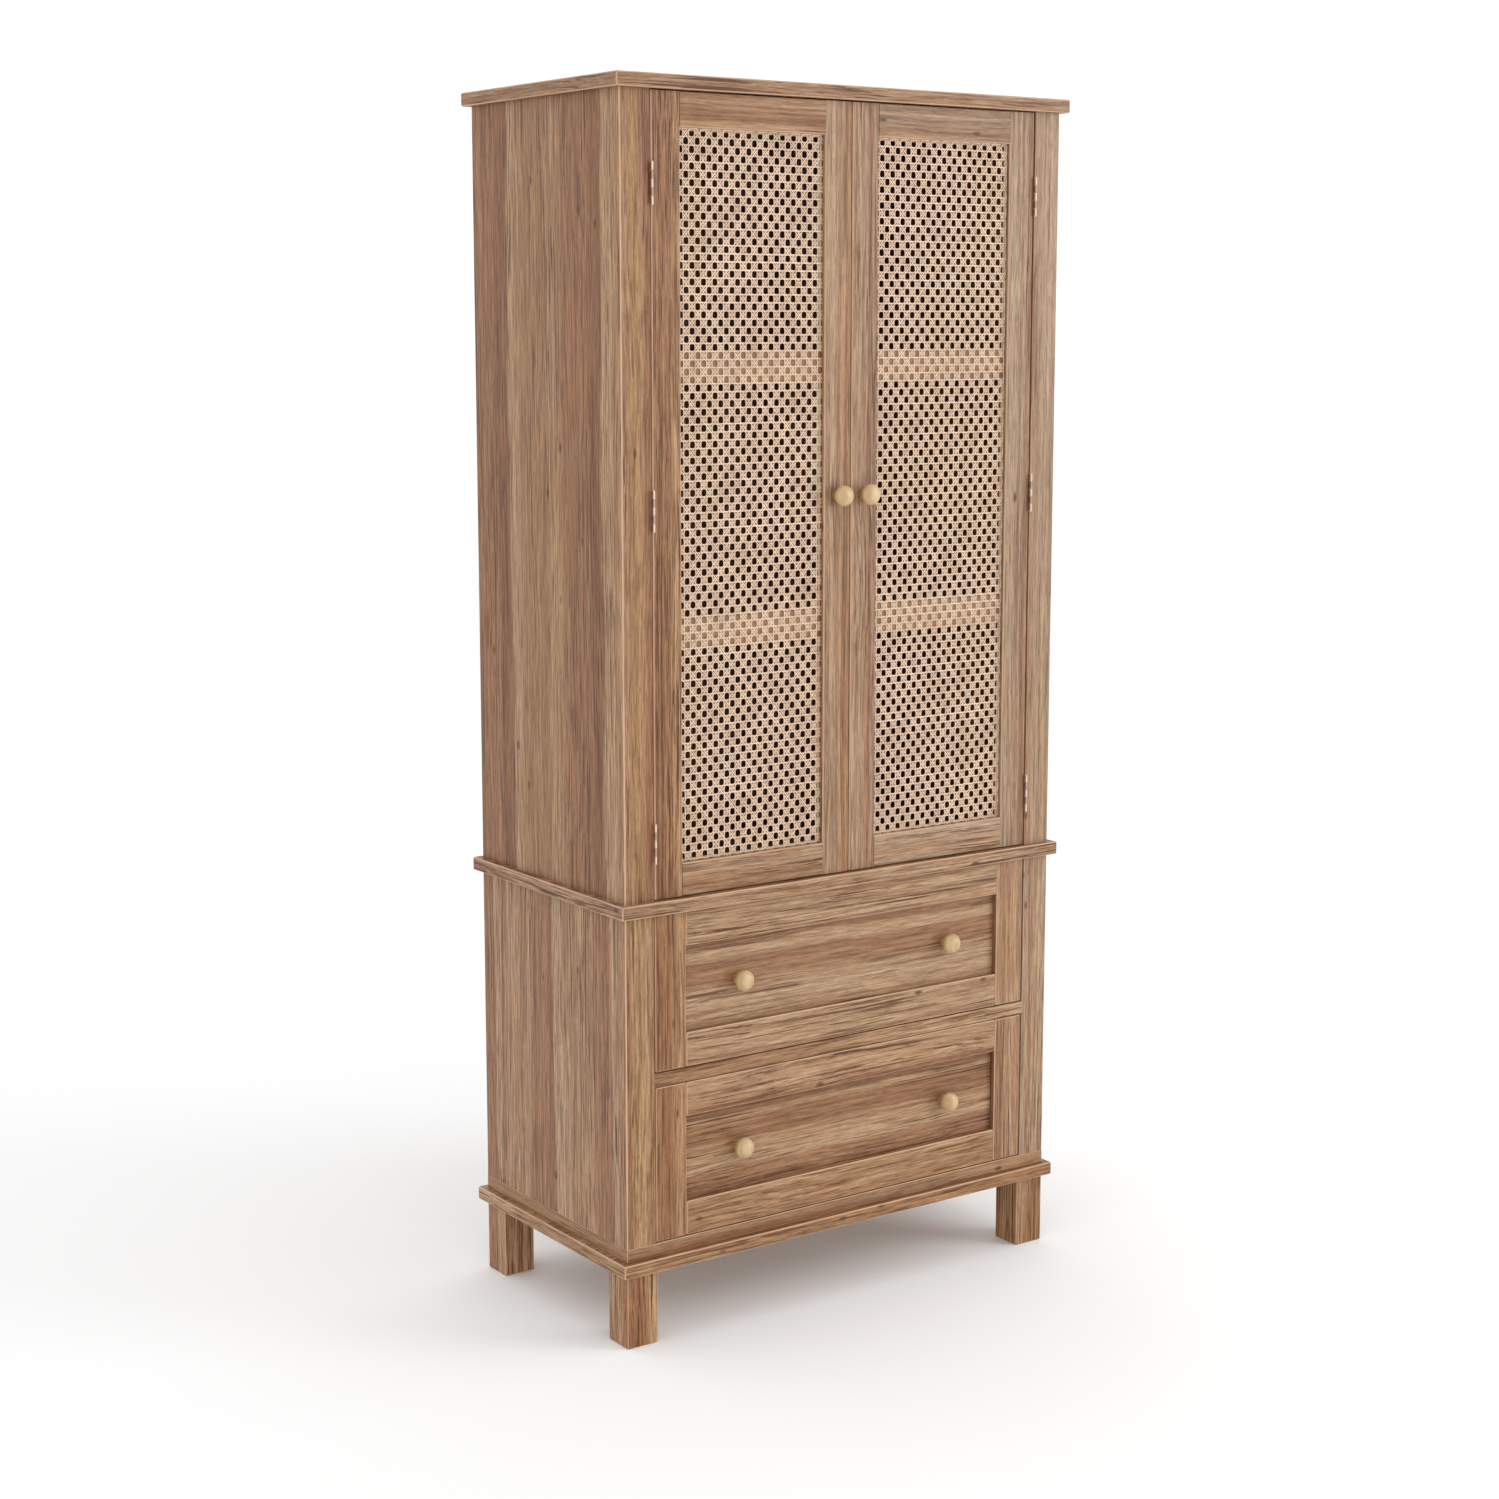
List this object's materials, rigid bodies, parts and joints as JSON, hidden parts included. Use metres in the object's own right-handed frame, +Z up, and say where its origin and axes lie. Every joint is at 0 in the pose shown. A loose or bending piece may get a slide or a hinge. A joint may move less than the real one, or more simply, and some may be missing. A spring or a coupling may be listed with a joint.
{
  "type": "armoire",
  "caption": "Freestanding armoire with hinged woven-cane doors over sliding drawers, overhanging boards, ball knobs and square legs.",
  "frame": {"origin": "middle of the footprint of the whole object on the floor, knobs included", "axes": "+Z up, -Y out of the front with the doors and drawers, +X to the right when facing the front"},
  "size_m": [0.735, 0.403, 1.63],
  "materials": {
    "case_wood": "satin mid-brown grained wood",
    "door_wood": "satin mid-brown grained wood",
    "drawer_wood": "satin brown wood with strong streaks",
    "knob_wood": "pale turned beech, satin lacquer",
    "box_wood": "plain pale wood",
    "back_board": "thin matt fibreboard",
    "cane": "natural woven cane",
    "hinge_metal": "plain brushed metal",
    "catch_plastic": "matt dark plastic"
  },
  "bodies": {
    "cabinet": {"top_board": "case_wood", "mid_board": "case_wood", "base_board": "case_wood", "bottom_panel": "case_wood", "drawer_rail": "case_wood", "upper_side_left": "case_wood", "upper_stile_left": "case_wood", "upper_side_right": "case_wood", "upper_stile_right": "case_wood", "upper_back_panel": "back_board", "shelf_upper": "case_wood", "lower_side_left": "case_wood", "lower_stile_left": "case_wood", "lower_side_right": "case_wood", "lower_stile_right": "case_wood", "lower_back_panel": "back_board", "shelf_lower": "case_wood", "leg_front_left": "case_wood", "leg_front_right": "case_wood", "leg_back_left": "case_wood", "leg_back_right": "case_wood", "left_hinge_top_frame_leaf": "hinge_metal", "left_hinge_middle_frame_leaf": "hinge_metal", "left_hinge_bottom_frame_leaf": "hinge_metal", "right_hinge_top_frame_leaf": "hinge_metal", "right_hinge_middle_frame_leaf": "hinge_metal", "right_hinge_bottom_frame_leaf": "hinge_metal", "upper_drawer_guide": "box_wood", "lower_drawer_guide": "box_wood", "magnetic_catch": "catch_plastic"},
    "left_door": {"left_door_hinge_stile": "door_wood", "left_door_meeting_stile": "door_wood", "left_door_top_rail": "door_wood", "left_door_bottom_rail": "door_wood", "left_door_cross_rail_upper": "door_wood", "left_door_cross_rail_lower": "door_wood", "left_door_cane_panel": "cane", "left_door_knob": "knob_wood", "left_hinge_top_door_leaf": "hinge_metal", "left_hinge_middle_door_leaf": "hinge_metal", "left_hinge_bottom_door_leaf": "hinge_metal"},
    "right_door": {"right_door_hinge_stile": "door_wood", "right_door_meeting_stile": "door_wood", "right_door_top_rail": "door_wood", "right_door_bottom_rail": "door_wood", "right_door_cross_rail_upper": "door_wood", "right_door_cross_rail_lower": "door_wood", "right_door_cane_panel": "cane", "right_door_knob": "knob_wood", "right_hinge_top_door_leaf": "hinge_metal", "right_hinge_middle_door_leaf": "hinge_metal", "right_hinge_bottom_door_leaf": "hinge_metal"},
    "upper_drawer": {"upper_drawer_front": "drawer_wood", "upper_drawer_box": "box_wood", "upper_drawer_knob_left": "knob_wood", "upper_drawer_knob_right": "knob_wood"},
    "lower_drawer": {"lower_drawer_front": "drawer_wood", "lower_drawer_box": "box_wood", "lower_drawer_knob_left": "knob_wood", "lower_drawer_knob_right": "knob_wood"}
  },
  "joints": [
    {"name": "left_door_hinge", "type": "hinge", "parent": "cabinet", "child": "left_door", "pos_m": [-0.31262, -0.18, 1.103], "axis": [0, 0, -1], "range_deg": [0, 170]},
    {"name": "right_door_hinge", "type": "hinge", "parent": "cabinet", "child": "right_door", "pos_m": [0.31262, -0.18, 1.103], "axis": [0, 0, 1], "range_deg": [0, 170]},
    {"name": "upper_drawer_slide", "type": "slide", "parent": "cabinet", "child": "upper_drawer", "axis": [0, -1, 0], "range_m": [0, 0.24]},
    {"name": "lower_drawer_slide", "type": "slide", "parent": "cabinet", "child": "lower_drawer", "axis": [0, -1, 0], "range_m": [0, 0.24]}
  ]
}
